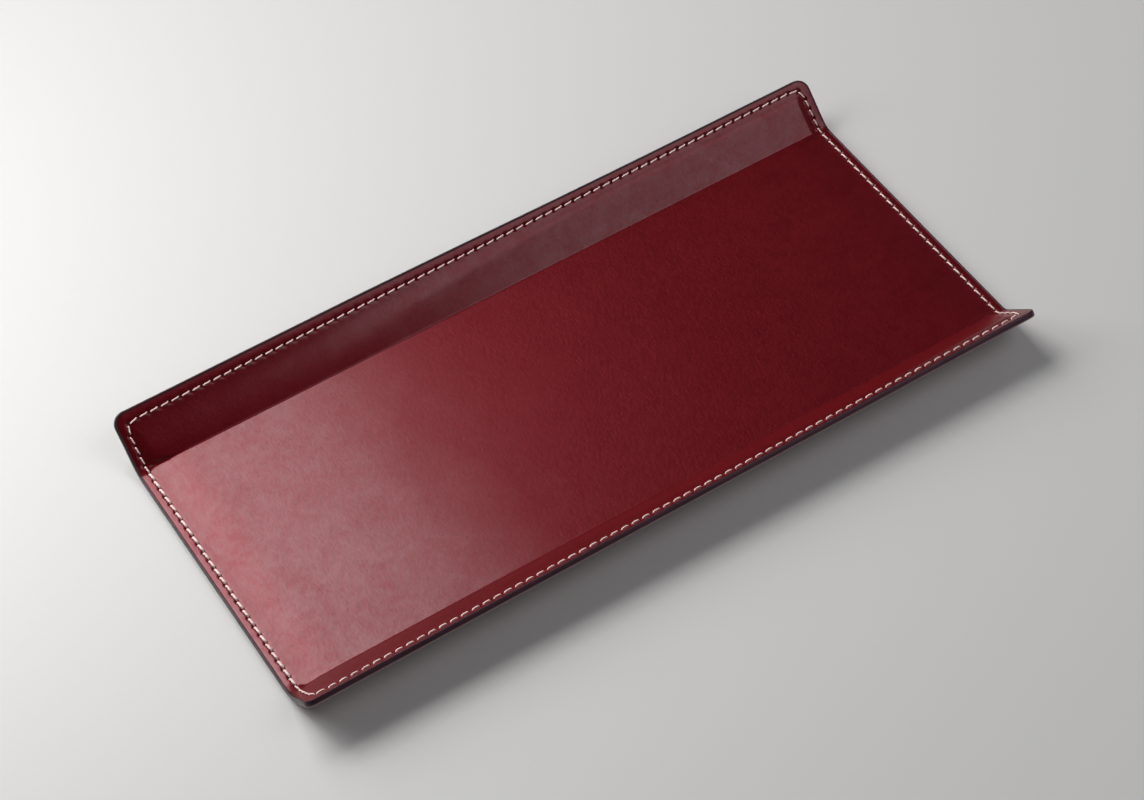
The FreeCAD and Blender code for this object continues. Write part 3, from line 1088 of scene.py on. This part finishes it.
@dataclass(frozen=True)
class PaintFinish:
    """Dark edge paint, brushed on in thin coats, with a highlight painted pale along its lower
    outside corner.
    """

    name: str
    colour: Colour = (0.018, 0.0066, 0.0092)
    pale: Colour = (0.028, 0.011, 0.014)
    # Painted highlight for the lower outside corner, where it catches light.
    glint_colour: Colour = (0.30, 0.22, 0.225)
    shine: Colour = (0.8, 0.5, 0.6)
    cloud: NoiseLook = NoiseLook(90.0)
    cloud_span: Span = (0.35, 0.65)
    streak: NoiseLook = NoiseLook(700.0, 3.0)
    streak_span: Span = (0.3, 0.7)
    streak_strength: float = 0.3
    streak_depth: float = 0.00004
    roughness: Span = (0.30, 0.44)

    def material(self) -> Material:
        """Build the material."""
        graph = Surface(self.name)
        place = graph.place()
        streak = graph.noise(place, self.streak)
        cloud = graph.spread(graph.noise(place, self.cloud), self.cloud_span)
        coat = graph.blend(cloud, self.colour, self.pale)
        return graph.finish({
            # Painted highlight on the lower outside corner.
            "Base Color": graph.blend(graph.mask("painted_glint"), coat, self.glint_colour),
            "Roughness": graph.spread(streak, self.streak_span, self.roughness),
            "Specular Tint": self.shine,
            "Normal": graph.bump(streak, self.streak_strength, self.streak_depth),
        })


@dataclass(frozen=True)
class ThreadFinish:
    """Waxed cream thread, with a little more and less wax along it."""

    name: str
    colour: Colour = (0.92, 0.74, 0.70)
    shade: Colour = (0.84, 0.61, 0.57)
    wax: NoiseLook = NoiseLook(160.0, 1.0)
    fibre: NoiseLook = NoiseLook(6000.0)
    span: Span = (0.3, 0.7)
    fibre_strength: float = 0.4
    fibre_depth: float = 0.00003
    roughness: Span = (0.47, 0.67)

    def material(self) -> Material:
        """Build the material."""
        graph = Surface(self.name)
        place = graph.place()
        fibre = graph.noise(place, self.fibre)
        wax = graph.spread(graph.noise(place, self.wax), self.span)
        return graph.finish({
            "Base Color": graph.blend(wax, self.colour, self.shade),
            "Roughness": graph.spread(fibre, self.span, self.roughness),
            "Normal": graph.bump(fibre, self.fibre_strength, self.fibre_depth),
        })


@dataclass(frozen=True)
class CoreFinish:
    """Mill-finished sheet metal, with the fine lines of rolling."""

    name: str
    colour: Colour = (0.62, 0.63, 0.64)
    stretch: Triple = (40.0, 3000.0, 3000.0)
    line: NoiseLook = NoiseLook(1.0, 3.0)
    line_span: Span = (0.3, 0.7)
    roughness: Span = (0.28, 0.45)

    def material(self) -> Material:
        """Build the material."""
        graph = Surface(self.name)
        lines = graph.noise(graph.mapped(graph.place(), self.stretch), self.line)
        return graph.finish({
            "Base Color": self.colour,
            "Metallic": 1.0,
            "Roughness": graph.spread(lines, self.line_span, self.roughness),
        })


@dataclass(frozen=True)
class PenTray:
    """The whole tray: its leathers, seam, painted edge and core."""

    sizes: TraySizes = field(default_factory=TraySizes)

    def build(self) -> None:
        """Build and dress every piece in order."""
        sizes = self.sizes
        seam = Seam(sizes)
        fold = Fold(sizes)
        hide = Hide().group()
        fine = Outline(sizes, long_columns=816, short_columns=428)
        coarse = Outline(sizes, long_columns=240, short_columns=126)
        for face, name, step in ((Face.UPPER, "lining", sizes.upper_step),
                                 (Face.LOWER, "base", sizes.underside_step)):
            leather = Leather(sizes, seam, fold, fine, face, name, step)
            finish = LeatherFinish(name + "_calf")
            self._dress(leather.build(), finish.material(hide), name + "_leather")
        paint = EdgePaint(sizes, fold, coarse).build()
        self._dress(paint, PaintFinish("edge_paint").material(), "edge_paint")
        cream = ThreadFinish("waxed_thread").material()
        for face, name in ((Face.UPPER, "needle"), (Face.LOWER, "bobbin")):
            thread = Thread(sizes, seam, fold, face, name + "_stitches")
            self._dress(thread.build(), cream, name + "_thread", "thread")
        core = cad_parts["core_sheet"]
        core.data.materials.clear()
        core.data.materials.append(CoreFinish("core_metal").material())
        LOG.info("dressed core_sheet")

    @staticmethod
    def _dress(piece: Object, material: Material, node: str,
               slot: str | None = None) -> None:
        """Give a piece its finish, and let it stand for its solid."""
        piece.data.materials.append(material)
        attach(piece, BODY)
        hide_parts(node)
        LOG.info("built %s with %d faces for %s", piece.name, len(piece.data.polygons), node)


def bearing(azimuth: float, elevation: float) -> Vector:
    """Point from the tray, so many degrees round it from behind and so many above the level."""
    turn, climb = math.radians(azimuth), math.radians(elevation)
    flat = math.cos(climb)
    return Vector((math.sin(turn) * flat, math.cos(turn) * flat, math.sin(climb)))


@dataclass(frozen=True)
class Softbox:
    """A flat studio light that faces the tray."""

    name: str
    azimuth: float
    elevation: float
    distance: float
    width: float
    height: float
    radiance: float
    colour: Colour = (1.0, 1.0, 1.0)

    def build(self) -> None:
        """Hang the light, turned towards the tray's middle."""
        away = bearing(self.azimuth, self.elevation)
        lamp = bpy.data.lights.new(self.name, "AREA")
        lamp.shape = "RECTANGLE"
        lamp.size, lamp.size_y = self.width, self.height
        lamp.color = self.colour
        lamp.energy = self.radiance * math.pi * self.width * self.height
        light = add_object(self.name, lamp)
        light.location = away * self.distance
        light.rotation_euler = away.to_track_quat("Z", "Y").to_euler()
        LOG.info("hung %s", self.name)


@dataclass(frozen=True)
class Studio:
    """The pale floor, the lights and the air round the tray."""

    floor_colour: Colour = (0.57, 0.565, 0.55)
    floor_roughness: float = 0.6
    floor_half: float = 4.0
    air_colour: Colour = (1.0, 0.99, 0.97)
    air_level: float = 0.04
    band_level: float = 0.36
    band_span: Span = (0.05, 0.45)
    front_span: Span = (-0.3, 0.3)
    boxes: tuple[Softbox, ...] = (
        Softbox("back_box", -14.5, 54.0, 1.0, 0.67, 0.43, 7.4),
        Softbox("side_box", -52.0, 36.0, 0.40, 0.22, 0.22, 4.8),
        Softbox("front_box", 136.9, 50.0, 1.2, 0.70, 0.82, 2.2, (0.95, 0.95, 1.0)),
        Softbox("end_box", 66.0, 24.0, 1.0, 0.50, 0.30, 0.4),
        Softbox("low_box", -11.0, 29.0, 0.9, 0.55, 0.36, 2.2),
    )

    def build(self) -> None:
        """Lay the floor, hang the lights and set the world."""
        self._lay_floor()
        for box in self.boxes:
            box.build()
        self._set_world()

    def _lay_floor(self) -> None:
        """Lay a plain floor under the tray."""
        bm = bmesh.new()
        bmesh.ops.create_grid(bm, x_segments=1, y_segments=1, size=self.floor_half)
        floor = as_object("floor", bm)
        floor.data.materials.append(Surface("pale_floor").finish({
            "Base Color": self.floor_colour, "Roughness": self.floor_roughness}))

    def _set_world(self) -> None:
        """Light the air faintly all round, with a paler band low in front."""
        world = bpy.data.worlds.new("studio_air")
        world.use_nodes = True
        graph = Graph(world.node_tree)
        direction = graph.add("ShaderNodeTexCoord").outputs["Generated"]
        parts = graph.add("ShaderNodeSeparateXYZ", {"Vector": direction}).outputs
        band = graph.spread(parts["Z"], self.band_span, (self.band_level, 0.0))
        in_front = graph.spread(parts["Y"], self.front_span, (1.0, 0.0))
        level = graph.math("ADD", graph.math("MULTIPLY", band, in_front), self.air_level)
        graph.fill(graph.tree.nodes["Background"], {"Strength": level, "Color": self.air_colour})
        bpy.context.scene.world = world


@dataclass(frozen=True)
class StudioCamera:
    """The camera, at the photograph's place and lens. Its azimuth counts from the front."""

    azimuth: float = -27.967
    elevation: float = 50.799
    roll: float = -5.165
    distance: float = 0.8512
    target: Vector = field(default_factory=lambda: Vector((-0.00203, -0.0002, 0.0)))
    lens: float = 92.45
    sensor: float = 36.0

    def build(self) -> None:
        """Set up the camera and make it the scene's own."""
        back = bearing(self.azimuth, self.elevation)
        back.y = -back.y
        right = (-back).cross(Vector((0.0, 0.0, 1.0))).normalized()
        up = back.cross(right)
        level = Matrix((right, up, back)).transposed()
        data = bpy.data.cameras.new("photo_camera")
        data.lens, data.sensor_width = self.lens, self.sensor
        camera = add_object("photo_camera", data)
        turned = level @ Matrix.Rotation(math.radians(self.roll), 3, "Z")
        place = Matrix.Translation(self.target + back * self.distance)
        camera.matrix_world = place @ turned.to_4x4()
        bpy.context.scene.camera = camera


def main() -> None:
    """Build the camera, the tray and the studio, in that order."""
    logging.basicConfig(level=logging.INFO, format="%(name)s: %(message)s")
    StudioCamera().build()
    PenTray().build()
    Studio().build()
    bpy.context.scene.view_settings.view_transform = "Standard"


if __name__ == "__main__":
    main()
